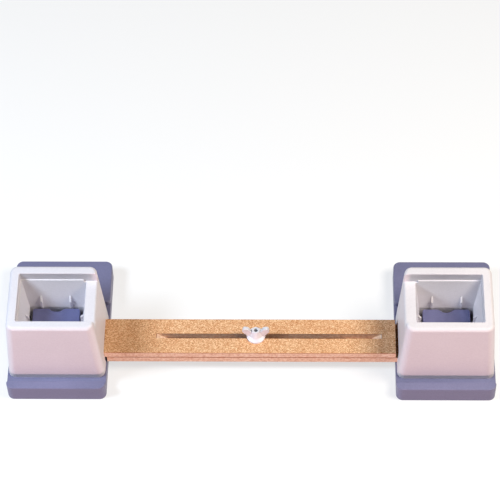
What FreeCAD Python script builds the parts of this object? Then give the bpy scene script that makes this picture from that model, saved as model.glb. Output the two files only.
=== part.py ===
"""Linked bed riser: two socket towers on long bases, joined by a sliding bar of two slotted boards."""
import FreeCAD, Part
import math
import os
import re
import Sketcher

# Driving sizes in millimetres: name, value, meaning.
SIZES = [
    ("centre_distance", 562, "between the tower centres, bar as stored"),
    ("base_side", 1.5, "base past the tower, left and right"),
    ("lip_width", 12.5, "raised lip in front of the seat"),
    ("deck_depth", 73, "raised deck behind the seat"),
    ("base_height", 29.5, "base, floor to deck"),
    ("base_wall", 3.5, "base skin"),
    ("base_corner", 10, "base corner radius in plan"),
    ("base_edge", 1.5, "rounding of the deck's edge"),
    ("seat_drop", 9, "seat below the deck"),
    ("seat_margin", 11.5, "seat past the tower, front and back"),
    ("lip_corner", 1.8, "corner radius of the lip at the seat"),
    ("deck_corner", 6, "corner radius of the deck at the seat"),
    ("rib_thick", 3, "base ribs"),
    ("rib_span", 80, "between the two long ribs"),
    ("rib_pitch", 45, "between the cross ribs"),
    ("rib_lift", 2, "ribs above the floor"),
    ("tower_height", 126, "seat to rim"),
    ("foot_width", 140, "tower at the seat, across"),
    ("foot_depth", 113, "tower at the seat, front to back"),
    ("rim_width", 123.5, "tower at the rim, across"),
    ("rim_depth", 108, "tower at the rim, front to back"),
    ("tower_corner", 11, "tower corner radius"),
    ("rim_round", 5, "outer rounding of the rim"),
    ("mouth_round", 1, "inner rounding of the rim"),
    ("tower_wall", 3, "tower skins"),
    ("mouth_width", 97, "socket mouth, across"),
    ("mouth_depth", 80.5, "socket mouth, front to back"),
    ("mouth_corner", 2, "socket mouth corner radius"),
    ("lip_height", 15, "straight lip below the rim"),
    ("low_rim_drop", 18.5, "rim of the bar's side below the others"),
    ("low_rim_round", 4, "outer rounding of the low rim"),
    ("ledge_width", 1.8, "ledge below the lip"),
    ("socket_width", 78, "straight well of the socket, across"),
    ("socket_depth", 54, "straight well of the socket, front to back"),
    ("floor_height", 33.5, "socket floor above the seat"),
    ("floor_thick", 3.5, "socket floor"),
    ("fin_thick", 2.5, "fins in the socket"),
    ("fin_spacing", 42, "between the fins of a long wall"),
    ("fin_height", 41.5, "straight edge of the fins above the floor"),
    ("fin_slope", 8, "sloping top of the fins"),
    ("fin_gap", 1.2, "fins to the pad, front and back"),
    ("fin_side_gap", 3, "fins to the pad, left and right"),
    ("post_inset", 9.5, "screw posts from the front and back of the foot"),
    ("post_bite", 1.1, "tops of the screw posts into the side walls"),
    ("post_diameter", 10, "screw posts"),
    ("post_height", 40, "screw posts above the seat"),
    ("pad_width", 68, "pad, across"),
    ("pad_depth", 48, "pad, front to back"),
    ("pad_thick", 26, "pad"),
    ("pad_corner", 3.5, "pad corner radius"),
    ("notch_radius", 13.5, "finger notch of the pad"),
    ("notch_depth", 5.3, "finger notch into the pad"),
    ("notch_round", 4, "rounded corners of the notch"),
    ("pad_edge", 1, "rounded edges of the pad"),
    ("board_width", 58, "boards"),
    ("board_thick", 12, "boards"),
    ("board_edge", 0.8, "eased long edges of the boards"),
    ("board_hold", 45, "boards past the tower centre"),
    ("end_gap", 2, "free board end to the other tower's foot"),
    ("slot_width", 8, "slot in the boards"),
    ("slot_head", 73, "slot from the tower's foot"),
    ("slot_tail", 19, "slot from the free end"),
    ("slot_ramp", 16, "saw run-out at the slot ends"),
    ("opening_gap", 1, "opening of the tower around the boards"),
    ("opening_lift", 2, "opening of the tower above the boards"),
    ("opening_corner", 4, "upper corners of the opening"),
    ("packing_front", 40, "packing from the tower centre towards the bar"),
    ("screw_spacing", 44, "between the board screws"),
    ("screw_shank", 4.8, "all screws"),
    ("screw_head", 9, "all screws"),
    ("screw_head_height", 3, "all screws"),
    ("screw_point", 4, "all screws"),
    ("tower_screw_length", 26, "base to tower"),
    ("board_screw_length", 35, "base and boards to the socket floor"),
    ("screw_clearance", 0.2, "round the screws in base and boards"),
    ("pilot_clearance", 0.05, "round the screws in posts and bosses"),
    ("pilot_end", 1.2, "solid left above the pilot holes"),
    ("clamp_offset", 7, "clamp from the middle of the bar"),
    ("bolt_diameter", 6, "clamp bolt"),
    ("bolt_head", 16, "clamp bolt's cup head"),
    ("bolt_head_height", 3.6, "clamp bolt's cup head"),
    ("bolt_head_round", 3, "clamp bolt's cup head"),
    ("neck_gap", 0.2, "square neck to the slot"),
    ("neck_height", 6, "square neck"),
    ("bolt_sink", 1.5, "bolt end below the nut's top"),
    ("bolt_chamfer", 0.8, "bolt end"),
    ("nut_clearance", 0.05, "bolt in the nut"),
    ("nut_height", 16.5, "nut hub"),
    ("nut_flange", 27, "nut flange"),
    ("nut_flange_height", 2.6, "nut flange edge"),
    ("nut_waist", 18, "hub where it meets the flange"),
    ("nut_waist_height", 5.5, "hub where it meets the flange"),
    ("nut_top", 10.5, "hub at the top"),
    ("wing_span", 40, "over the wings"),
    ("wing_height", 22.5, "wings above the board"),
    ("wing_thick", 5, "wings"),
    ("wing_tip", 9, "width of the wing tips"),
    ("wing_round", 3, "rounded wing tips"),
]

# Sizes that follow from the driving ones.
DERIVED = [
    ("base_width", "foot_width + 2 * base_side"),
    ("seat_level", "base_height - seat_drop"),
    ("plate_level", "seat_level - base_wall"),
    ("seat_half", "foot_depth / 2 + seat_margin"),
    ("base_front", "seat_half + lip_width"),
    ("base_rear", "seat_half + deck_depth"),
    ("tower_place", "(base_front - base_rear) / 2"),
    ("base_length", "base_front + base_rear"),
    ("tray_width", "base_width - 2 * base_wall"),
    ("tray_length", "base_length - 2 * base_wall"),
    ("tray_corner", "base_corner - base_wall"),
    ("ledge_level", "tower_height - lip_height"),
    ("low_rim_level", "tower_height - low_rim_drop"),
    ("low_rim_half", "foot_width / 2 - (foot_width - rim_width) / 2 * low_rim_level / tower_height"),
    ("well_level", "floor_height + pad_thick"),
    ("funnel_width", "mouth_width - 2 * ledge_width"),
    ("funnel_depth", "mouth_depth - 2 * ledge_width"),
    ("low_rim_inner", "mouth_width / 2 - 3 * mouth_corner"),
    ("fin_top", "floor_height + fin_height + fin_slope"),
    ("fin_share", "(fin_top - well_level) / (ledge_level - well_level)"),
    ("fin_top_depth", "socket_depth + (funnel_depth - socket_depth) * fin_share"),
    ("fin_top_width", "socket_width + (funnel_width - socket_width) * fin_share"),
    ("stack_height", "2 * board_thick"),
    ("board_reach", "centre_distance - foot_width / 2 - end_gap"),
    ("post_lean", "(foot_width - rim_width) / 2 * post_height / tower_height"),
    ("post_place_x", "foot_width / 2 - post_lean - tower_wall - post_diameter / 2 + post_bite"),
    ("post_place_y", "foot_depth / 2 - post_inset"),
]

doc = FreeCAD.newDocument("bed_riser")
sheet = doc.addObject("Spreadsheet::Sheet", "sizes")
for row, (name, value, meaning) in enumerate(SIZES, 1):
    sheet.set(f"A{row}", meaning)
    sheet.set(f"B{row}", str(value))
    sheet.setAlias(f"B{row}", name)
for row, (name, formula) in enumerate(DERIVED, len(SIZES) + 1):
    sheet.set(f"A{row}", name.replace("_", " "))
    sheet.set(f"B{row}", "=" + formula)
    sheet.setAlias(f"B{row}", name)
doc.recompute()


def size(name):
    """Number held by a cell of the sheet."""
    return float(sheet.get(name))


def linked(expression):
    """Expression on the sheet's cells, from one written with their plain names."""
    return re.sub(r"\b[a-z][a-z_]+\b(?!\()", r"sizes.\g<0>", expression)


def origin_part(body, role):
    """Plane or axis of a body's own origin."""
    return next(f for f in body.Origin.OriginFeatures if f.Role == role)


def new_body(label, x="0", y="tower_place", z="0", turned=False):
    """Body placed by expressions, turned half round about Z where it faces the other way."""
    body = doc.addObject("PartDesign::Body", label)
    body.Label = label
    body.Placement.Rotation = FreeCAD.Rotation(FreeCAD.Vector(0, 0, 1), 180 if turned else 0)
    for axis, expression in (("x", x), ("y", y), ("z", z)):
        body.setExpression(f"Placement.Base.{axis}", linked(expression))
    return body


def new_sketch(body, name, role="XY_Plane", level="0", across="0"):
    """Sketch on an origin plane, lifted along its normal and moved along its own y."""
    sketch = body.newObject("Sketcher::SketchObject", name)
    sketch.AttachmentSupport = [(origin_part(body, role), "")]
    sketch.MapMode = "FlatFace"
    sketch.setExpression("AttachmentOffset.Base.z", linked(level))
    sketch.setExpression("AttachmentOffset.Base.y", linked(across))
    return sketch


def constrain(sketch, expression, *constraint, start=1.0):
    """Dimension bound to the sheet."""
    index = sketch.addConstraint(Sketcher.Constraint(*constraint, start))
    sketch.setExpression(f"Constraints[{index}]", linked(expression))


def polygon(sketch, corners):
    """Closed outline whose corners are pairs of expressions."""
    first, count = sketch.GeometryCount, len(corners)
    turn = [2 * math.pi * k / count for k in range(count + 1)]
    spots = [FreeCAD.Vector(50 * math.cos(a), 50 * math.sin(a), 0) for a in turn]
    for start, end in zip(spots, spots[1:]):
        sketch.addGeometry(Part.LineSegment(start, end))
    for k, (x, y) in enumerate(corners):
        line, following = first + k, first + (k + 1) % count
        sketch.addConstraint(Sketcher.Constraint("Coincident", line, 2, following, 1))
        constrain(sketch, x, "DistanceX", -1, 1, line, 1)
        constrain(sketch, y, "DistanceY", -1, 1, line, 1)


def rectangle(sketch, width, depth):
    """Rectangle about the sketch's origin."""
    x, y = f"({width}) / 2", f"({depth}) / 2"
    polygon(sketch, [(f"-{x}", f"-{y}"), (x, f"-{y}"), (x, y), (f"-{x}", y)])


def rounded_rectangle(sketch, width, depth, corner):
    """Rectangle with rounded corners about the sketch's origin, from three named sizes."""
    x, y, r = size(width) / 2, size(depth) / 2, size(corner)
    sides = [((r - x, -y), (x - r, -y)), ((x, r - y), (x, y - r)),
             ((x - r, y), (r - x, y)), ((-x, y - r), (-x, r - y))]
    centres = [(x - r, r - y), (x - r, y - r), (r - x, y - r), (r - x, r - y)]
    for k, ((start, end), centre) in enumerate(zip(sides, centres)):
        sketch.addGeometry(Part.LineSegment(FreeCAD.Vector(*start, 0), FreeCAD.Vector(*end, 0)))
        circle = Part.Circle(FreeCAD.Vector(*centre, 0), FreeCAD.Vector(0, 0, 1), r)
        sketch.addGeometry(Part.ArcOfCircle(circle, (k - 1) * math.pi / 2, k * math.pi / 2))
    for k in range(8):
        sketch.addConstraint(Sketcher.Constraint("Tangent", k, 2, (k + 1) % 8, 1))
    for k in (3, 5, 7):
        sketch.addConstraint(Sketcher.Constraint("Equal", 1, k))
    sketch.addConstraint(Sketcher.Constraint("Symmetric", 0, 1, 0, 2, -2))
    sketch.addConstraint(Sketcher.Constraint("Symmetric", 2, 1, 2, 2, -1))
    sketch.addConstraint(Sketcher.Constraint("Horizontal", 4))
    sketch.addConstraint(Sketcher.Constraint("Vertical", 6))
    constrain(sketch, width, "DistanceX", 6, 2, 2, 1, start=2 * x)
    constrain(sketch, depth, "DistanceY", 0, 1, 4, 2, start=2 * y)
    constrain(sketch, corner, "Radius", 1, start=r)


def circles(sketch, centres, diameter):
    """Equal circles at centres given as pairs of expressions."""
    for x, y in centres:
        spot = FreeCAD.Vector(30 if x == "0" else 60, 30, 0)
        index = sketch.addGeometry(Part.Circle(spot, FreeCAD.Vector(0, 0, 1), 5))
        constrain(sketch, x, "DistanceX", -1, 1, index, 3)
        constrain(sketch, y, "DistanceY", -1, 1, index, 3)
        constrain(sketch, diameter, "Diameter", index)


def extrude(body, kind, name, sketch, length, back=False, both=False):
    """Pad or Pocket of a sketch by a bound length."""
    feature = body.newObject(f"PartDesign::{kind}", name)
    feature.Profile = sketch
    feature.setExpression("Length", linked(length))
    feature.Reversed = back
    feature.SideType = "Symmetric" if both else "One side"
    doc.recompute()
    return feature


def mirror(body, name, feature, plane):
    """Mirror image of a feature in one of the body's planes."""
    mirrored = body.newObject("PartDesign::Mirrored", name)
    mirrored.Originals = [feature]
    mirrored.MirrorPlane = (origin_part(body, plane), [""])
    body.Tip = mirrored
    doc.recompute()


def loft(body, kind, name, lower, upper):
    """Ruled loft between two sketches."""
    feature = body.newObject(f"PartDesign::{kind}Loft", name)
    feature.Profile = lower
    feature.Sections = [upper]
    feature.Ruled = True
    doc.recompute()
    return feature


def revolve(body, name, sketch):
    """Full turn of a sketch about its own vertical axis."""
    feature = body.newObject("PartDesign::Revolution", name)
    feature.Profile = sketch
    feature.ReferenceAxis = (sketch, ["V_Axis"])
    feature.Angle = 360
    doc.recompute()
    return feature


def fillet(body, name, radius, wanted):
    """Fillet of the edges that a test picks."""
    base = body.Tip
    edges = [f"Edge{k}" for k, edge in enumerate(base.Shape.Edges, 1) if wanted(edge)]
    feature = body.newObject("PartDesign::Fillet", name)
    feature.Base = (base, edges)
    feature.setExpression("Radius", linked(radius))
    doc.recompute()
    return feature


def draft(body, name, angle, wanted):
    """Taper of the faces that a test picks, about the body's ground plane."""
    base = body.Tip
    faces = [f"Face{k}" for k, face in enumerate(base.Shape.Faces, 1) if wanted(face)]
    feature = body.newObject("PartDesign::Draft", name)
    feature.Base = (base, faces)
    feature.NeutralPlane = (origin_part(body, "XY_Plane"), [""])
    feature.setExpression("Angle", linked(angle))
    doc.recompute()
    return feature


def shell(body, name, wall, wanted):
    """Hollow with an even wall, open at the faces that a test picks."""
    base = body.Tip
    faces = [f"Face{k}" for k, face in enumerate(base.Shape.Faces, 1) if wanted(face)]
    feature = body.newObject("PartDesign::Thickness", name)
    feature.Base = (base, faces)
    feature.setExpression("Value", linked(wall))
    feature.Reversed = True
    doc.recompute()
    return feature


def near(a, b):
    return abs(a - b) < 1e-4


def at_level(edge, level):
    """Edge that lies flat at a height."""
    return all(near(v.Z, level) for v in edge.Vertexes) and near(edge.BoundBox.ZLength, 0)


def upright(edge, x=None, y=None):
    """Straight vertical edge, optionally at a distance x to either side and at y."""
    spot = edge.Vertexes[0]
    return (near(edge.BoundBox.XLength, 0) and near(edge.BoundBox.YLength, 0)
            and (x is None or near(abs(spot.X), x)) and (y is None or near(spot.Y, y)))


SCREW_POSTS = [(f"{sx}post_place_x", f"{sy}post_place_y") for sx in ("", "-") for sy in ("", "-")]
BOARD_SCREWS = [("screw_spacing / 2", "0"), ("-screw_spacing / 2", "0")]
SCREW_HOLE = "screw_shank + 2 * screw_clearance"
PILOT_HOLE = "screw_shank + 2 * pilot_clearance"


def make_base(label, x):
    """Long moulded tray, open and ribbed below, with a lowered seat across it for the tower."""
    body = new_body(label, x)
    middle = "(base_rear - base_front) / 2"
    outline = new_sketch(body, "outline", across=middle)
    rounded_rectangle(outline, "base_width", "base_length", "base_corner")
    extrude(body, "Pad", "block", outline, "base_height")
    seat = new_sketch(body, "seat_outline", level="base_height")
    rectangle(seat, "base_width + 2", "2 * seat_half")
    extrude(body, "Pocket", "seat", seat, "seat_drop")
    for name, place in (("lip_corner", -size("seat_half")), ("deck_corner", size("seat_half"))):
        fillet(body, f"{name}s", name, lambda e: upright(e, size("base_width") / 2, place))
    fillet(body, "deck_edges", "base_edge", lambda e: at_level(e, size("base_height")))
    tray = new_sketch(body, "tray_outline", across=middle)
    rounded_rectangle(tray, "tray_width", "tray_length", "tray_corner")
    extrude(body, "Pocket", "tray", tray, "plate_level", back=True)
    decks = new_sketch(body, "deck_outlines", level="plate_level")
    side, near_step = "tray_width / 2 - base_wall", "seat_half + base_wall"
    for sign, end in (("-", "base_front"), ("", "base_rear")):
        polygon(decks, [(f"-({side})", f"{sign}({near_step})"), (side, f"{sign}({near_step})"),
                        (side, f"{sign}({end} - base_wall)"), (f"-({side})", f"{sign}({end} - base_wall)")])
    extrude(body, "Pocket", "deck_hollows", decks, "seat_drop", back=True)
    rib_height = "plate_level + base_wall / 2 - rib_lift"
    long_ribs = new_sketch(body, "long_rib_outlines", level="rib_lift")
    for sign in ("-", ""):
        inner, outer = f"{sign}(rib_span / 2)", f"{sign}(rib_span / 2 + rib_thick)"
        polygon(long_ribs, [(inner, "base_wall / 2 - base_front"), (outer, "base_wall / 2 - base_front"),
                            (outer, "base_rear - base_wall / 2"), (inner, "base_rear - base_wall / 2")])
    extrude(body, "Pad", "long_ribs", long_ribs, rib_height)
    deck_ribs = new_sketch(body, "deck_rib_outlines", level="plate_level")
    for sign in ("-", ""):
        inner, outer = f"{sign}(rib_span / 2)", f"{sign}(rib_span / 2 + rib_thick)"
        for start, end in (("base_wall / 2 - base_front", "-seat_half"), ("seat_half", "base_rear - base_wall / 2")):
            polygon(deck_ribs, [(inner, start), (outer, start), (outer, end), (inner, end)])
    extrude(body, "Pad", "deck_ribs", deck_ribs, "seat_drop + base_wall / 2")
    cross_rib = new_sketch(body, "cross_rib_outline", level="rib_lift", across="-rib_pitch / 2")
    rectangle(cross_rib, "base_width - base_wall", "rib_thick")
    rib = extrude(body, "Pad", "cross_rib", cross_rib, rib_height)
    ribs = body.newObject("PartDesign::LinearPattern", "cross_ribs")
    ribs.Originals = [rib]
    ribs.Direction = (origin_part(body, "Y_Axis"), [""])
    ribs.Mode = "Spacing"
    ribs.setExpression("Offset", linked("rib_pitch"))
    ribs.Occurrences = 3
    body.Tip = ribs
    doc.recompute()
    holes = new_sketch(body, "hole_centres")
    circles(holes, SCREW_POSTS + BOARD_SCREWS, SCREW_HOLE)
    extrude(body, "Pocket", "screw_holes", holes, "base_height", back=True)
    return body


def make_tower(label, x, turned):
    """Double-walled moulding: tapered outer skin, rim, funnel socket with fins, open below."""
    body = new_body(label, x, z="seat_level", turned=turned)
    foot = new_sketch(body, "foot_outline")
    rectangle(foot, "foot_width", "foot_depth")
    extrude(body, "Pad", "block", foot, "tower_height")
    draft(body, "side_draft", "atan((foot_width - rim_width) / 2 / tower_height)",
          lambda f: near(abs(f.CenterOfMass.x), size("foot_width") / 2))
    draft(body, "front_draft", "atan((foot_depth - rim_depth) / 2 / tower_height)",
          lambda f: near(abs(f.CenterOfMass.y), size("foot_depth") / 2))
    fillet(body, "corners", "tower_corner", lambda e: e.BoundBox.ZLength > size("tower_height") / 2)
    fillet(body, "rim_edge", "rim_round", lambda e: at_level(e, size("tower_height")))
    shell(body, "shell", "tower_wall", lambda f: near(f.CenterOfMass.z, 0))

    # Outside of the socket: lip, funnel and straight well.
    skin = "2 * tower_wall"
    lip = new_sketch(body, "lip_outline", level="tower_height - tower_wall / 2")
    rectangle(lip, f"mouth_width + {skin}", f"mouth_depth + {skin}")
    extrude(body, "Pad", "lip_skin", lip, "lip_height + tower_wall / 2", back=True)
    funnel_low = new_sketch(body, "funnel_skin_low", level="well_level")
    rectangle(funnel_low, f"socket_width + {skin}", f"socket_depth + {skin}")
    funnel_high = new_sketch(body, "funnel_skin_high", level="ledge_level")
    rectangle(funnel_high, f"funnel_width + {skin}", f"funnel_depth + {skin}")
    loft(body, "Additive", "funnel_skin", funnel_low, funnel_high)
    well = new_sketch(body, "well_skin_outline", level="well_level")
    rectangle(well, f"socket_width + {skin}", f"socket_depth + {skin}")
    extrude(body, "Pad", "well_skin", well, "pad_thick + floor_thick", back=True)

    # Inside of the socket, with a ledge where the funnel is narrower than the lip.
    mouth = new_sketch(body, "mouth_outline", level="tower_height")
    rounded_rectangle(mouth, "mouth_width", "mouth_depth", "mouth_corner")
    extrude(body, "Pocket", "mouth", mouth, "lip_height")
    low = new_sketch(body, "funnel_low", level="well_level")
    rectangle(low, "socket_width", "socket_depth")
    high = new_sketch(body, "funnel_high", level="ledge_level")
    rectangle(high, "funnel_width", "funnel_depth")
    loft(body, "Subtractive", "funnel", low, high)
    bottom = new_sketch(body, "well_outline", level="well_level")
    rectangle(bottom, "socket_width", "socket_depth")
    extrude(body, "Pocket", "well", bottom, "pad_thick")

    # The wall on the bar's side stops below the ledge; its top and the ends of the lip are closed.
    cap = new_sketch(body, "low_rim_cap", "XZ_Plane")
    inner, outer = "funnel_width / 2 + tower_wall / 4", "rim_width / 2 - tower_wall / 2"
    polygon(cap, [(inner, "low_rim_level - tower_wall"),
                  ("low_rim_half - tower_wall / 2", "low_rim_level - tower_wall"),
                  (outer, "tower_height - rim_round - tower_wall / 2"),
                  (f"{outer} - rim_round / 2", "tower_height - tower_wall / 2"),
                  (inner, "tower_height - tower_wall / 2")])
    extrude(body, "Pad", "low_rim_block", cap, "mouth_depth + 2 * tower_wall", both=True)
    cut = new_sketch(body, "low_rim_outline", "XZ_Plane")
    polygon(cut, [("low_rim_inner", "low_rim_level"), ("foot_width / 2 + 1", "low_rim_level"),
                  ("foot_width / 2 + 1", "tower_height + 1"), ("low_rim_inner", "tower_height + 1")])
    extrude(body, "Pocket", "low_rim", cut, "mouth_depth", both=True)
    fillet(body, "low_rim_edge", "low_rim_round",
           lambda e: at_level(e, size("low_rim_level")) and near(e.CenterOfMass.x, size("low_rim_half")))
    fillet(body, "mouth_edge", "mouth_round",
           lambda e: at_level(e, size("tower_height")) and abs(e.CenterOfMass.y) < size("mouth_depth") / 2 + 0.1
           and e.CenterOfMass.x > -size("mouth_width") / 2 - 0.1)

    # Fins that keep the pad in place: two on each long wall, one on each short wall.
    foot_level, tip_level = "floor_height - floor_thick / 2", "floor_height + fin_height"

    def fin(sketch, sign, tip, wall_low, wall_high):
        polygon(sketch, [(f"{sign}({tip})", foot_level), (f"{sign}({tip})", tip_level),
                         (f"{sign}({wall_high} / 2 + tower_wall / 2)", "fin_top"),
                         (f"{sign}({wall_low} / 2 + tower_wall / 2)", "well_level"),
                         (f"{sign}({wall_low} / 2 + tower_wall / 2)", foot_level)])

    long_fins = new_sketch(body, "long_wall_fins", "YZ_Plane", "fin_spacing / 2")
    side_fins = new_sketch(body, "short_wall_fins", "XZ_Plane")
    for sign in ("", "-"):
        fin(long_fins, sign, "pad_depth / 2 + fin_gap", "socket_depth", "fin_top_depth")
        fin(side_fins, sign, "pad_width / 2 + fin_side_gap", "socket_width", "fin_top_width")
    pair = extrude(body, "Pad", "fin_pair", long_fins, "fin_thick", both=True)
    mirror(body, "fins", pair, "YZ_Plane")
    extrude(body, "Pad", "side_fins", side_fins, "fin_thick", both=True)

    # Screw posts in the corners and bosses under the floor, each with a pilot hole.
    posts = new_sketch(body, "post_outlines")
    circles(posts, SCREW_POSTS, "post_diameter")
    extrude(body, "Pad", "posts", posts, "post_height")
    bosses = new_sketch(body, "boss_outlines", level="stack_height")
    circles(bosses, BOARD_SCREWS, "post_diameter")
    extrude(body, "Pad", "bosses", bosses, "floor_height - floor_thick / 2 - stack_height")
    pilots = new_sketch(body, "post_pilot_outlines")
    circles(pilots, SCREW_POSTS, PILOT_HOLE)
    extrude(body, "Pocket", "post_pilots", pilots, "tower_screw_length", back=True)
    boss_pilots = new_sketch(body, "boss_pilot_outlines", level="stack_height")
    circles(boss_pilots, BOARD_SCREWS, PILOT_HOLE)
    extrude(body, "Pocket", "boss_pilots", boss_pilots, "floor_height - pilot_end - stack_height", back=True)

    # Opening for both boards in the wall that faces the other tower.
    opening = new_sketch(body, "opening_outline", "YZ_Plane", "foot_width / 2 + 1")
    half, top = "board_width / 2 + opening_gap", "stack_height + opening_lift"
    polygon(opening, [(f"-({half})", "-1"), (half, "-1"), (half, top), (f"-({half})", top)])
    extrude(body, "Pocket", "opening", opening, "3 * tower_wall + 1")
    opening_level = size("stack_height") + size("opening_lift")
    fillet(body, "opening_corners", "opening_corner",
           lambda e: len(e.Vertexes) == 2 and near(e.BoundBox.ZLength, 0) and near(e.BoundBox.YLength, 0)
           and near(e.Vertexes[0].Z, opening_level) and e.Vertexes[0].X > size("foot_width") / 2 - 10)
    return body


def make_pad(label, x):
    """Thick pad with a finger notch in the middle of each long edge."""
    body = new_body(label, x, z="seat_level + floor_height")
    outline = new_sketch(body, "outline")
    rounded_rectangle(outline, "pad_width", "pad_depth", "pad_corner")
    extrude(body, "Pad", "block", outline, "pad_thick")
    notches = new_sketch(body, "notch_outlines")
    away = "pad_depth / 2 + notch_radius - notch_depth"
    circles(notches, [("0", away), ("0", f"-({away})")], "2 * notch_radius")
    extrude(body, "Pocket", "notches", notches, "pad_thick", back=True)
    fillet(body, "notch_corners", "notch_round",
           lambda e: upright(e) and near(abs(e.Vertexes[0].Y), size("pad_depth") / 2)
           and abs(e.Vertexes[0].X) < size("notch_radius"))
    fillet(body, "edges", "pad_edge", lambda e: at_level(e, 0) or at_level(e, size("pad_thick")))
    return body


def make_board(label, x, z, turned):
    """Board from inside its own tower towards the other, with a slot that runs out in saw ramps."""
    body = new_body(label, x, z=z, turned=turned)
    outline = new_sketch(body, "outline")
    back, half = "-board_hold", "board_width / 2"
    polygon(outline, [(back, f"-{half}"), ("board_reach", f"-{half}"), ("board_reach", half), (back, half)])
    extrude(body, "Pad", "board", outline, "board_thick")
    fillet(body, "eased_edges", "board_edge",
           lambda e: near(e.BoundBox.YLength, 0) and near(e.BoundBox.ZLength, 0))
    start, end = "foot_width / 2 + slot_head", "board_reach - slot_tail"
    slot = new_sketch(body, "slot_outline", "XZ_Plane")
    polygon(slot, [(f"{start} + slot_ramp", "0"), (f"{end} - slot_ramp", "0"),
                   (end, "board_thick"), (start, "board_thick")])
    extrude(body, "Pocket", "slot", slot, "slot_width", both=True)
    holes = new_sketch(body, "hole_centres")
    circles(holes, BOARD_SCREWS, SCREW_HOLE)
    extrude(body, "Pocket", "screw_holes", holes, "board_thick", back=True)
    return body


def make_packing(label, x, z, turned):
    """Board offcut beside the fixed end of a board."""
    body = new_body(label, x, z=z, turned=turned)
    outline = new_sketch(body, "outline")
    back, half = "-board_hold", "board_width / 2"
    polygon(outline, [(back, f"-{half}"), ("packing_front", f"-{half}"), ("packing_front", half), (back, half)])
    extrude(body, "Pad", "block", outline, "board_thick")
    holes = new_sketch(body, "hole_centres")
    circles(holes, BOARD_SCREWS, SCREW_HOLE)
    extrude(body, "Pocket", "screw_holes", holes, "board_thick", back=True)
    return body


def make_screws(label, x, length, rows):
    """Pan-head screws driven up from under the seat plate, in a rectangular or straight pattern."""
    body = new_body(label, x, z="plate_level")
    profile = new_sketch(body, "profile", "XZ_Plane")
    polygon(profile, [("0", "-screw_head_height"), ("screw_head / 2 - 1", "-screw_head_height"),
                      ("screw_head / 2", "1 - screw_head_height"), ("screw_head / 2", "0"),
                      ("screw_shank / 2", "0"), ("screw_shank / 2", f"{length} - screw_point"), ("0", length)])
    first_x, first_y = [f"-({place}) / 2" for place in rows]
    profile.setExpression("AttachmentOffset.Base.x", linked(first_x))
    profile.setExpression("AttachmentOffset.Base.z", linked(f"-({first_y})"))
    screw = revolve(body, "screw", profile)
    pattern = body.newObject("PartDesign::LinearPattern", "screws")
    pattern.Originals = [screw]
    pattern.Direction = (origin_part(body, "X_Axis"), [""])
    pattern.setExpression("Length", linked(rows[0]))
    pattern.Occurrences = 2
    if rows[1] != "0":
        pattern.Direction2 = (origin_part(body, "Y_Axis"), [""])
        pattern.setExpression("Length2", linked(rows[1]))
        pattern.Occurrences2 = 2
    body.Tip = pattern
    doc.recompute()
    return body


def make_bolt(label):
    """Cup-head bolt whose square neck slides in the lower board's slot."""
    body = new_body(label, "clamp_offset", z="seat_level")
    profile = new_sketch(body, "profile", "XZ_Plane")
    end = "stack_height + nut_height - bolt_sink"
    polygon(profile, [("0", "-bolt_head_height"), ("bolt_head / 2", "-bolt_head_height"), ("bolt_head / 2", "0"),
                      ("bolt_diameter / 2", "0"), ("bolt_diameter / 2", f"{end} - bolt_chamfer"),
                      ("bolt_diameter / 2 - bolt_chamfer", end), ("0", end)])
    revolve(body, "shank", profile)
    fillet(body, "cup_head", "bolt_head_round", lambda e: at_level(e, -size("bolt_head_height")))
    neck = new_sketch(body, "neck_outline")
    rectangle(neck, "slot_width - 2 * neck_gap", "slot_width - 2 * neck_gap")
    extrude(body, "Pad", "neck", neck, "neck_height")
    return body


def make_nut(label):
    """Plastic wing nut: wide flange, conical hub and two wings that spread upwards."""
    body = new_body(label, "clamp_offset", z="seat_level + stack_height")
    profile = new_sketch(body, "profile", "XZ_Plane")
    polygon(profile, [("0", "0"), ("nut_flange / 2", "0"), ("nut_flange / 2", "nut_flange_height"),
                      ("nut_waist / 2", "nut_waist_height"), ("nut_top / 2", "nut_height"), ("0", "nut_height")])
    revolve(body, "hub", profile)
    wings = new_sketch(body, "wing_outlines", "XZ_Plane")
    for sign in ("", "-"):
        polygon(wings, [(f"{sign}1", "1"), (f"{sign}(nut_waist / 2 + 1)", "1"),
                        (f"{sign}(wing_span / 2)", "wing_height - wing_tip * 0.8"),
                        (f"{sign}(wing_span / 2 - wing_tip * 0.3)", "wing_height"),
                        (f"{sign}(wing_span / 2 - wing_tip)", "wing_height - wing_tip * 0.2"),
                        (f"{sign}(nut_top / 2 - 1)", "nut_height * 0.6"), (f"{sign}1", "nut_height * 0.6")])
    extrude(body, "Pad", "wings", wings, "wing_thick", both=True)
    tip_level = size("wing_height") - size("wing_tip")
    fillet(body, "wing_tips", "wing_round",
           lambda e: near(e.BoundBox.XLength, 0) and near(e.BoundBox.ZLength, 0)
           and e.Vertexes[0].Z > tip_level and abs(e.Vertexes[0].X) > size("nut_top") / 2 + 1)
    bore = new_sketch(body, "bore_outline")
    circles(bore, [("0", "0")], "bolt_diameter + 2 * nut_clearance")
    extrude(body, "Pocket", "bore", bore, "nut_height", back=True)
    return body


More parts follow.
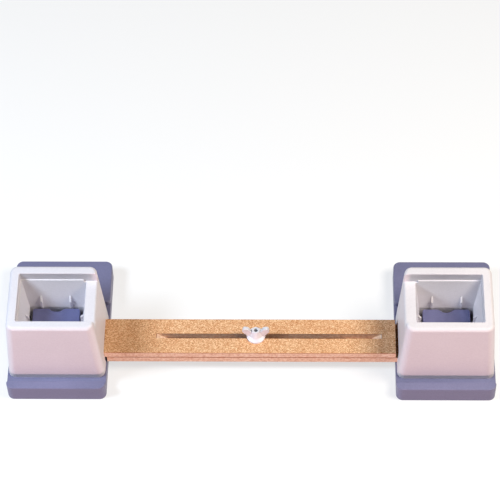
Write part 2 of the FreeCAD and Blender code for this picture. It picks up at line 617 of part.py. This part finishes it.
LEFT, RIGHT = "-centre_distance / 2", "centre_distance / 2"
pieces = []
for side, place, turned in (("left", LEFT, False), ("right", RIGHT, True)):
    pieces.append(make_base(f"{side}_base", place))
    pieces.append(make_tower(f"{side}_tower", place, turned))
    pieces.append(make_pad(f"{side}_pad", place))
    pieces.append(make_screws(f"{side}_tower_screws", place, "tower_screw_length",
                              ("2 * post_place_x", "2 * post_place_y")))
    pieces.append(make_screws(f"{side}_board_screws", place, "board_screw_length", ("screw_spacing", "0")))
pieces.append(make_board("upper_board", LEFT, "seat_level + board_thick", False))
pieces.append(make_board("lower_board", RIGHT, "seat_level", True))
pieces.append(make_packing("left_packing", LEFT, "seat_level", False))
pieces.append(make_packing("right_packing", RIGHT, "seat_level + board_thick", True))
pieces.append(make_bolt("clamp_bolt"))
pieces.append(make_nut("wing_nut"))
doc.recompute()

# Nothing is written unless every object is sound.
failed = [o.Name for o in doc.Objects if "Invalid" in o.State or "Error" in o.State]
unsound = [p.Label for p in pieces if p.Shape.isNull() or not p.Shape.isValid()]
if failed or unsound:
    raise RuntimeError(f"failed objects {failed}, unsound pieces {unsound}")
os.makedirs("parts", exist_ok=True)
for piece in pieces:
    piece.Shape.exportStep(f"parts/{piece.Label}.step")
    box = piece.Shape.BoundBox
    print(f"{piece.Label:20s} solids {len(piece.Shape.Solids)} faces {len(piece.Shape.Faces):4d} "
          f"volume {piece.Shape.Volume / 1000:8.2f} cm3 x {box.XMin:7.1f} {box.XMax:7.1f} "
          f"y {box.YMin:7.1f} {box.YMax:7.1f} z {box.ZMin:6.1f} {box.ZMax:6.1f}")
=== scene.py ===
# %% [markdown]
# # A linked bed riser
# Two moulded towers stand on long bases, and a bar of two slotted boards keeps them apart at the
# length that a wing nut clamps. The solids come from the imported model, so this lesson is about what
# Blender adds: the photograph's camera, a plain studio, finishes made of nodes, and the screws.

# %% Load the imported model
import math

import bmesh
import bpy
from mathutils import Matrix, Vector


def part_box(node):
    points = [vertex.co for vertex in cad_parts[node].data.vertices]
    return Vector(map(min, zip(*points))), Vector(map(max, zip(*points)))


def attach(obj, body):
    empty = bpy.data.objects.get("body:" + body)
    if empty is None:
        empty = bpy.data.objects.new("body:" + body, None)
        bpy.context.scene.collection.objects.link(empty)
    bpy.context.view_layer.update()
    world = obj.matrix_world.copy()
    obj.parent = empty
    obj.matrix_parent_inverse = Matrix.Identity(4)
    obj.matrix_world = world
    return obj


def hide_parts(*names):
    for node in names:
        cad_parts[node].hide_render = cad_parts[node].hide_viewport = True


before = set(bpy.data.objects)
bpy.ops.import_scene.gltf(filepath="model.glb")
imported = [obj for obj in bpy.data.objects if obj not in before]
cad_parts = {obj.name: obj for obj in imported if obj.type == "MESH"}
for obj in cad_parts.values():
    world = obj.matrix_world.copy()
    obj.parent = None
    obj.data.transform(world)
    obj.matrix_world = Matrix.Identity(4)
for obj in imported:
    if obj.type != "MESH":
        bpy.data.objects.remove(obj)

scene = bpy.context.scene
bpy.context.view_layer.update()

# %% [markdown]
# ## Camera
# The photograph looks down at the bar from about 55 degrees with a long lens. The angles and the
# distance were fitted to the edges of the towers, so the lens can be written in pixels of a frame
# that is 500 pixels wide and changed to millimetres for a sensor of 36 mm. No lens shift is needed.

# %% Camera at the photograph's viewing angle
FRAME_PIXELS, LENS_PIXELS, SENSOR = 500, 2153.6, 36.0
pitch, yaw, roll = (math.radians(a) for a in (55.481, -2.362, -1.845))
forward = Vector((math.sin(yaw) * math.cos(pitch), math.cos(yaw) * math.cos(pitch),
                  -math.sin(pitch)))
level = Vector((math.cos(yaw), -math.sin(yaw), 0))
raised = level.cross(forward)
right = level * math.cos(roll) + raised * math.sin(roll)
up = raised * math.cos(roll) - level * math.sin(roll)
lens = bpy.data.cameras.new("photo_camera")
lens.sensor_width, lens.lens = SENSOR, LENS_PIXELS / FRAME_PIXELS * SENSOR
camera = bpy.data.objects.new("photo_camera", lens)
scene.collection.objects.link(camera)
target, distance = Vector((-0.0052, 0.1518, 0)), 3.2624
turn = Matrix((right, up, -forward)).transposed().to_4x4()
camera.matrix_world = Matrix.Translation(target - forward * distance) @ turn
scene.camera = camera
print("lens", round(lens.lens, 1), "mm, camera at",
      [round(v, 3) for v in camera.matrix_world.translation])

# %% [markdown]
# ## A finish is a small tree of nodes
# Writing every link by hand hides the idea of a finish. One class wraps a socket, so that sums on
# values read as sums, and one method makes any other node from its settings and its inputs.


# %% Helpers for finishes
class Wire:
    """An output socket that can stand in a sum; each sign adds one Math node."""

    def __init__(self, finish, socket):
        self.finish, self.socket = finish, socket

    def sum(self, operation, first, second):
        return self.finish.node("ShaderNodeMath", {"operation": operation}, {0: first, 1: second})

    def __add__(self, other):
        return self.sum("ADD", self, other)

    def __radd__(self, other):
        return self.sum("ADD", other, self)

    def __sub__(self, other):
        return self.sum("SUBTRACT", self, other)

    def __rsub__(self, other):
        return self.sum("SUBTRACT", other, self)

    def __mul__(self, other):
        return self.sum("MULTIPLY", self, other)

    def __rmul__(self, other):
        return self.sum("MULTIPLY", other, self)

    def __truediv__(self, other):
        return self.sum("DIVIDE", self, other)

    def __gt__(self, other):
        return self.sum("GREATER_THAN", self, other)

    def __lt__(self, other):
        return self.sum("LESS_THAN", self, other)


class Finish:
    """One material: a Principled shader with fixed numbers, and the nodes that vary the rest."""

    def __init__(self, name, **fixed):
        self.material = bpy.data.materials.new(name)
        self.material.use_nodes = True
        self.tree = self.material.node_tree
        self.shader = self.tree.nodes["Principled BSDF"]
        for socket, value in fixed.items():
            self.shader.inputs[socket.replace("_", " ")].default_value = value
        self.spot = self.node("ShaderNodeTexCoord", output="Object")

    def node(self, kind, settings=None, sockets=None, output=0):
        node = self.tree.nodes.new(kind)
        for name, value in (settings or {}).items():
            if name == "stops":
                ramp = node.color_ramp.elements
                while len(ramp) < len(value):
                    ramp.new(0.5)
                for stop, (place, colour) in zip(ramp, value):
                    stop.position, stop.color = place, colour
            else:
                setattr(node, name, value)
        for key, value in (sockets or {}).items():
            self.feed(node.inputs[key], value)
        return Wire(self, node.outputs[output])

    def feed(self, target, value):
        if isinstance(value, Wire):
            self.tree.links.new(value.socket, target)
        else:
            target.default_value = value

    def set(self, **sockets):
        for name, value in sockets.items():
            self.feed(self.shader.inputs[name.replace("_", " ")], value)
        return self.material

    def stretched(self, scale):
        return self.node("ShaderNodeMapping", None, {"Vector": self.spot, "Scale": scale})

    def noise(self, scale, detail=2.0, rough=0.5, place=None):
        return self.node("ShaderNodeTexNoise", None, {"Vector": place or self.spot, "Scale": scale,
                                                      "Detail": detail, "Roughness": rough})

    def mix(self, factor, first, second):
        return self.node("ShaderNodeMix", {"data_type": "RGBA"},
                         {0: factor, 6: first, 7: second}, output=2)

    def ramp(self, value, stops):
        return self.node("ShaderNodeValToRGB", {"stops": stops}, {0: value})

    def bump(self, height, strength, depth, edge):
        """Fine relief over edges that are rounded by a small radius."""
        rounded = self.node("ShaderNodeBevel", {"samples": 6}, {"Radius": edge})
        return self.node("ShaderNodeBump", None, {"Strength": strength, "Distance": depth,
                                                  "Height": height, "Normal": rounded})


def linear(code, alpha=1.0):
    """Colour for a socket from a six-digit code."""
    parts = [int(code[k:k + 2], 16) / 255 for k in (0, 2, 4)]
    return [p / 12.92 if p <= 0.04045 else ((p + 0.055) / 1.055) ** 2.4 for p in parts] + [alpha]


def dress(node, material):
    """Gives a CAD node its finish."""
    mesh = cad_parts[node].data
    mesh.materials.clear()
    mesh.materials.append(material)


# %% [markdown]
# ## Moulded plastic
# Towers and bases are injection moulded. Spark-eroded moulds leave a fine even grain, thick places
# sink a little as they cool, and handling polishes the surface unevenly. So the colour drifts by a
# few percent over centimetres and mottles over a few millimetres, the grain is finer still, and the
# roughness follows. An image could carry this, but it would need unwrapping and would stretch over
# the rounded rims. Noise on object coordinates runs through the whole solid and needs neither.


# %% Tower and base plastic
def moulded_plastic(name, pale, deep, gloss, grain):
    finish = Finish(name, Specular_IOR_Level=0.4)
    drift = finish.noise(14.0, 3.0)
    mottle = finish.noise(380.0, 2.0)
    speck = finish.noise(900.0, 2.0)
    grit = finish.noise(2200.0, 1.0)
    tone = drift * 0.4 + mottle * 0.4 + speck * 0.2
    colour = finish.ramp(tone, [(0.35, linear(deep)), (0.65, linear(pale))])
    return finish.set(Base_Color=colour, Roughness=gloss + drift * 0.12 - speck * 0.06,
                      Normal=finish.bump(speck * 0.6 + grit * 0.4, grain, 0.0004, 0.0008))


tower_plastic = moulded_plastic("tower_plastic", "e3dfe3", "dbd6db", 0.42, 0.22)
base_plastic = moulded_plastic("base_plastic", "7b7b9b", "71718f", 0.40, 0.30)
for side in ("left", "right"):
    dress(f"{side}_tower", tower_plastic)
    dress(f"{side}_base", base_plastic)
for plastic in (tower_plastic, base_plastic):
    print(plastic.name, "has", len(plastic.node_tree.nodes), "shader nodes")

# %% [markdown]
# ## Pressed board
# The bar is board pressed from fine chips. Its faces show pale and dark chips a millimetre or two
# long with open pores between them, while sawn edges show the layers, and the eased corners between
# them are darker from handling. The height inside the board tells the three apart, so one finish
# serves them all, made once for each board. A photographed texture would soon repeat along a bar of
# this length; Voronoi cells for the chips and noise for the pores never do.


# %% Board
# Share of the half thickness where the eased corner starts, and where the face does.
EASED_FROM, FACE_FROM = 0.87, 0.985
# Level of the fine noise from which a spot of the face is an open pore.
PORES_FROM = 0.67


def pressed_board(name, node):
    low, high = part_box(node)
    finish = Finish(name, Specular_IOR_Level=0.25)
    height = finish.node("ShaderNodeSeparateXYZ", None, {0: finish.spot}, output="Z")
    middle, half = (low.z + high.z) / 2, (high.z - low.z) / 2
    away = finish.node("ShaderNodeMath", {"operation": "ABSOLUTE"}, {0: (height - middle) / half})
    flat = finish.stretched((1.0, 1.6, 1.6))
    chips = finish.node("ShaderNodeTexVoronoi", None, {"Vector": flat, "Scale": 820.0},
                        output="Color")
    shade = finish.node("ShaderNodeSeparateColor", None, {0: chips})
    cloud = finish.noise(30.0, 3.0)
    fibre = finish.noise(1100.0, 2.0)
    pores = finish.noise(760.0, 2.0, 0.6)
    face = finish.ramp(shade * 0.5 + cloud * 0.15 + fibre * 0.35, [
        (0.275, linear("bf8150")), (0.5, linear("dca476")), (0.72, linear("fbd5a9"))])
    face = finish.mix(pores > PORES_FROM, face, linear("8a5a38"))
    layers = finish.noise(260.0, 3.0, place=finish.stretched((0.15, 0.15, 6.0)))
    flecks = finish.noise(240.0, 3.0, 0.7)
    sawn = finish.ramp(layers * 0.3 + flecks * 0.5 + fibre * 0.2, [
        (0.4, linear("d6a88a")), (0.5, linear("ecc8aa")), (0.6, linear("f9e1c8"))])
    sawn = finish.mix(away > EASED_FROM, sawn, linear("a0623f"))
    colour = finish.mix(away > FACE_FROM, sawn, face)
    return finish.set(Base_Color=colour, Roughness=0.62 + fibre * 0.2,
                      Normal=finish.bump(shade * 0.4 + fibre * 0.6, 0.25, 0.0003, 0.0006))


for node in ("upper_board", "lower_board", "left_packing", "right_packing"):
    board = pressed_board(f"{node}_finish", node)
    dress(node, board)
    print(board.name, "has", len(board.node_tree.nodes), "shader nodes")

# %% [markdown]
# ## Rubber pad
# Each socket holds a firm rubber pad. Rubber keeps dust, so a faint pale bloom lies on the darker
# body, and the moulded skin has a soft, coarse grain. Two noises are enough: a broad one drives
# colour and roughness together, because bloom is pale and dull at once, and a fine one drives the
# relief.

# %% Pad rubber
rubber = Finish("pad_rubber", Specular_IOR_Level=0.3)
bloom = rubber.noise(45.0, 4.0, 0.6)
skin = rubber.noise(700.0, 2.0)
pad_rubber = rubber.set(
    Base_Color=rubber.ramp(bloom * 0.8 + skin * 0.2, [
        (0.3, linear("5b5d82")), (0.7, linear("6e7099"))]),
    Roughness=0.55 + bloom * 0.25, Normal=rubber.bump(skin, 0.3, 0.0004, 0.0012))
for side in ("left", "right"):
    dress(f"{side}_pad", pad_rubber)
print(pad_rubber.name, "has", len(pad_rubber.node_tree.nodes), "shader nodes")

# %% [markdown]
# ## Clamp
# The wing nut is glossy, milky plastic, so a little light passes under its skin. The bolt is
# zinc-plated steel, and its thread is cut too fine to be worth geometry: a helix is a sum of height
# and angle, so the thread is written as one.

# %% Wing nut and bolt
nut_finish = Finish("nut_plastic", Specular_IOR_Level=0.5, Subsurface_Weight=0.4,
                    Subsurface_Radius=(1.0, 1.0, 1.0), Subsurface_Scale=0.003)
sheen = nut_finish.noise(120.0, 3.0)
pits = nut_finish.noise(1500.0, 1.0)
dress("wing_nut", nut_finish.set(
    Base_Color=nut_finish.ramp(sheen, [(0.3, linear("dddbe0")), (0.7, linear("e6e4e8"))]),
    Roughness=0.26 + sheen * 0.14, Normal=nut_finish.bump(pits, 0.08, 0.0003, 0.0012)))

PITCH, SHANK = 0.001, 0.00302
low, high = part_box("clamp_bolt")
axis_x, axis_y = (low.x + high.x) / 2, (low.y + high.y) / 2
zinc = Finish("zinc_steel", Metallic=1.0)
spot = {axis: zinc.node("ShaderNodeSeparateXYZ", None, {0: zinc.spot}, output=axis)
        for axis in "XYZ"}
across, along = spot["X"] - axis_x, spot["Y"] - axis_y
angle = zinc.node("ShaderNodeMath", {"operation": "ARCTAN2"}, {0: along, 1: across})
turns = spot["Z"] / PITCH - angle / (2 * math.pi)
wave = zinc.node("ShaderNodeMath", {"operation": "PINGPONG"}, {0: turns, 1: 0.5})
radius = zinc.node("ShaderNodeMath", {"operation": "SQRT"}, {0: across * across + along * along})
thread = wave * 2.0 * (radius < SHANK)
smear = zinc.noise(420.0, 3.0)
dress("clamp_bolt", zinc.set(
    Base_Color=zinc.ramp(smear, [(0.3, linear("b4b5b8")), (0.7, linear("cfd0d2"))]),
    Roughness=0.24 + smear * 0.2, Normal=zinc.bump(thread + smear * 0.05, 1.0, 0.0004, 0.0005)))
print("bolt axis", round(axis_x, 4), round(axis_y, 4))

# %% [markdown]
# ## Screws
# Twelve pan-head screws hold the towers and boards from below. They differ only in length, so one
# screw is made in mesh code with its cross recess, and Geometry Nodes sets it on a point for each
# place. An Array modifier would also repeat it, but only in a line, and points take any places.


# %% One screw
def screw_mesh(name, head, head_height, shank, length, steps=32):
    """Pan head below with its cross recess, pointed shank above, all as rings round the axis."""
    arm, half_blade = head * 0.30, head * 0.07

    def cross(angle):
        """Edge of a plus sign, seen from its middle."""
        c, s = abs(math.cos(angle)) + 1e-9, abs(math.sin(angle)) + 1e-9
        return max(min(arm / c, half_blade / s), min(arm / s, half_blade / c))

    angles = [2 * math.pi * k / steps for k in range(steps)]
    r = head / 2
    rings = [([cross(a) * 0.55 for a in angles], -head_height * 0.40),
             ([cross(a) for a in angles], -head_height)]
    rings += [([radius] * steps, z) for radius, z in (
        (r * 0.72, -head_height), (r * 0.90, -head_height * 0.86),
        (r * 0.98, -head_height * 0.55), (r, -head_height * 0.2), (r, 0),
        (shank / 2, 0), (shank / 2, length - shank), (shank * 0.08, length))]
    shape = bmesh.new()
    loops = [[shape.verts.new((q * math.cos(a), q * math.sin(a), z)) for q, a in zip(radii, angles)]
             for radii, z in rings]
    for inner, outer in zip(loops, loops[1:]):
        for k in range(steps):
            shape.faces.new((inner[k], outer[k], outer[(k + 1) % steps], inner[(k + 1) % steps]))
    shape.faces.new(loops[0])
    shape.faces.new(reversed(loops[-1]))
    bmesh.ops.recalc_face_normals(shape, faces=shape.faces)
    mesh = bpy.data.meshes.new(name)
    shape.to_mesh(mesh)
    shape.free()
    return mesh


# %% [markdown]
# The tree takes the places as points and the screw as an object. It ends in real faces with their
# finish, because instances would be lost when the model is exported.


# %% Screws on points
def place_tree(name):
    tree = bpy.data.node_groups.new(name, "GeometryNodeTree")
    tree.interface.new_socket("Places", in_out="INPUT", socket_type="NodeSocketGeometry")
    tree.interface.new_socket("Screw", in_out="INPUT", socket_type="NodeSocketObject")
    tree.interface.new_socket("Steel", in_out="INPUT", socket_type="NodeSocketMaterial")
    tree.interface.new_socket("Screws", in_out="OUTPUT", socket_type="NodeSocketGeometry")
    entry, result = tree.nodes.new("NodeGroupInput"), tree.nodes.new("NodeGroupOutput")
    points, info, copies, real, coat = (tree.nodes.new(f"GeometryNode{kind}") for kind in (
        "MeshToPoints", "ObjectInfo", "InstanceOnPoints", "RealizeInstances", "SetMaterial"))
    for source, goal in (
            (entry.outputs["Places"], points.inputs["Mesh"]),
            (entry.outputs["Screw"], info.inputs["Object"]),
            (points.outputs[0], copies.inputs["Points"]),
            (info.outputs["Geometry"], copies.inputs["Instance"]),
            (copies.outputs[0], real.inputs[0]),
            (real.outputs[0], coat.inputs["Geometry"]),
            (entry.outputs["Steel"], coat.inputs["Material"]),
            (coat.outputs[0], result.inputs[0])):
        tree.links.new(source, goal)
    return tree


def screws(node, body, columns, rows, length, steel, tree):
    """Mesh of all the screws of a node, at the corners of the node's box."""
    low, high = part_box(node)
    inset = HEAD / 2
    xs = [low.x + inset, high.x - inset][:columns]
    ys = [low.y + inset, high.y - inset][:rows]
    places = bpy.data.meshes.new(f"{node}_places")
    places.from_pydata([(x, y, low.z + HEAD_HEIGHT) for x in xs for y in ys], [], [])
    piece = bpy.data.objects.new(f"{node}_piece", places)
    scene.collection.objects.link(piece)
    shape = screw_mesh(f"{node}_pattern", HEAD, HEAD_HEIGHT, SHAFT, length)
    pattern = bpy.data.objects.new(f"{node}_pattern", shape)
    modifier = piece.modifiers.new("screws", "NODES")
    modifier.node_group = tree
    sockets = {item.name: item.identifier for item in tree.interface.items_tree
               if item.in_out == "INPUT"}
    modifier[sockets["Screw"]], modifier[sockets["Steel"]] = pattern, steel
    built = piece.evaluated_get(bpy.context.evaluated_depsgraph_get())
    solid = bpy.data.meshes.new_from_object(built)
    piece.modifiers.remove(modifier)
    piece.data = solid
    bpy.data.objects.remove(pattern)
    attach(piece, body)
    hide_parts(node)
    print(node, len(solid.polygons), "faces")
    return piece


HEAD, HEAD_HEIGHT, SHAFT = 0.009, 0.003, 0.0048
TOWER_SCREW, BOARD_SCREW = 0.026, 0.035
plated = Finish("plated_screws", Metallic=1.0)
stain = plated.noise(300.0, 3.0)
plated_steel = plated.set(
    Base_Color=plated.ramp(stain, [(0.3, linear("a9aaae")), (0.7, linear("c9cacd"))]),
    Roughness=0.28 + stain * 0.22, Normal=plated.bump(stain, 0.1, 0.0002, 0.0003))
screw_tree = place_tree("screws_on_places")
for side in ("left", "right"):
    screws(f"{side}_tower_screws", f"{side}_unit", 2, 2, TOWER_SCREW, plated_steel, screw_tree)
    screws(f"{side}_board_screws", f"{side}_unit", 2, 1, BOARD_SCREW, plated_steel, screw_tree)

# %% [markdown]
# ## Studio
# Two soft lamps above, a cool one on the left and a warm one on the right, give the sockets their
# two-sided shading and the board ends their shade. A rose lamp far in front fills the fronts. It
# stands no higher than the rims, because a higher one would shine into the sockets and turn their
# back walls pink. More light would turn the floor white too, but it would bleach the towers. So for
# the camera the floor is part glow, which keeps its shadow pale, and what it throws back on the
# object is a darker, warmer tone.

# %% Floor
floor_shape = bpy.data.meshes.new("floor")
reach, drop = 6.0, -0.0004
corners = [(x * reach, y * reach, drop) for x, y in ((-1, -1), (1, -1), (1, 1), (-1, 1))]
floor_shape.from_pydata(corners, [], [(0, 1, 2, 3)])
floor = bpy.data.objects.new("floor", floor_shape)
scene.collection.objects.link(floor)
ground = Finish("pale_floor", Roughness=0.9, Emission_Strength=1.0)
rays = [ground.node("ShaderNodeLightPath", output=f"Is {kind} Ray")
        for kind in ("Camera", "Glossy", "Transmission")]
seen = rays[0] + rays[1] + rays[2]
bounce, shown = (0.50, 0.38, 0.36, 1), (0.34, 0.34, 0.34, 1)
unlit, glow = (0, 0, 0, 1), (0.66, 0.66, 0.66, 1)
ground.set(Base_Color=ground.mix(seen, bounce, shown),
           Emission_Color=ground.mix(seen, unlit, glow))
floor_shape.materials.append(ground.material)

# %% Sky and lamps
sky = bpy.data.worlds.new("sky")
sky.use_nodes = True
sky.node_tree.nodes["Background"].inputs["Color"].default_value = (1.0, 0.88, 0.97, 1)
sky.node_tree.nodes["Background"].inputs["Strength"].default_value = 0.04
scene.world = sky


def softbox(name, place, size, power, colour):
    lamp = bpy.data.lights.new(name, "AREA")
    lamp.size, lamp.energy, lamp.color = size, power, colour
    box = bpy.data.objects.new(name, lamp)
    box.location = place
    box.rotation_euler = (-Vector(place)).to_track_quat("-Z", "Y").to_euler()
    scene.collection.objects.link(box)
    return box


softbox("cool_lamp", (-1.1, -0.28, 1.17), 0.42, 21.3, (0.74, 0.86, 1.0))
softbox("warm_lamp", (0.92, -0.2, 1.28), 0.6, 20.2, (1.0, 0.92, 0.81))
softbox("rose_fill", (0.0, -2.8, 0.12), 0.24, 34.0, (1.0, 0.68, 0.71))
scene.view_settings.view_transform = "Standard"
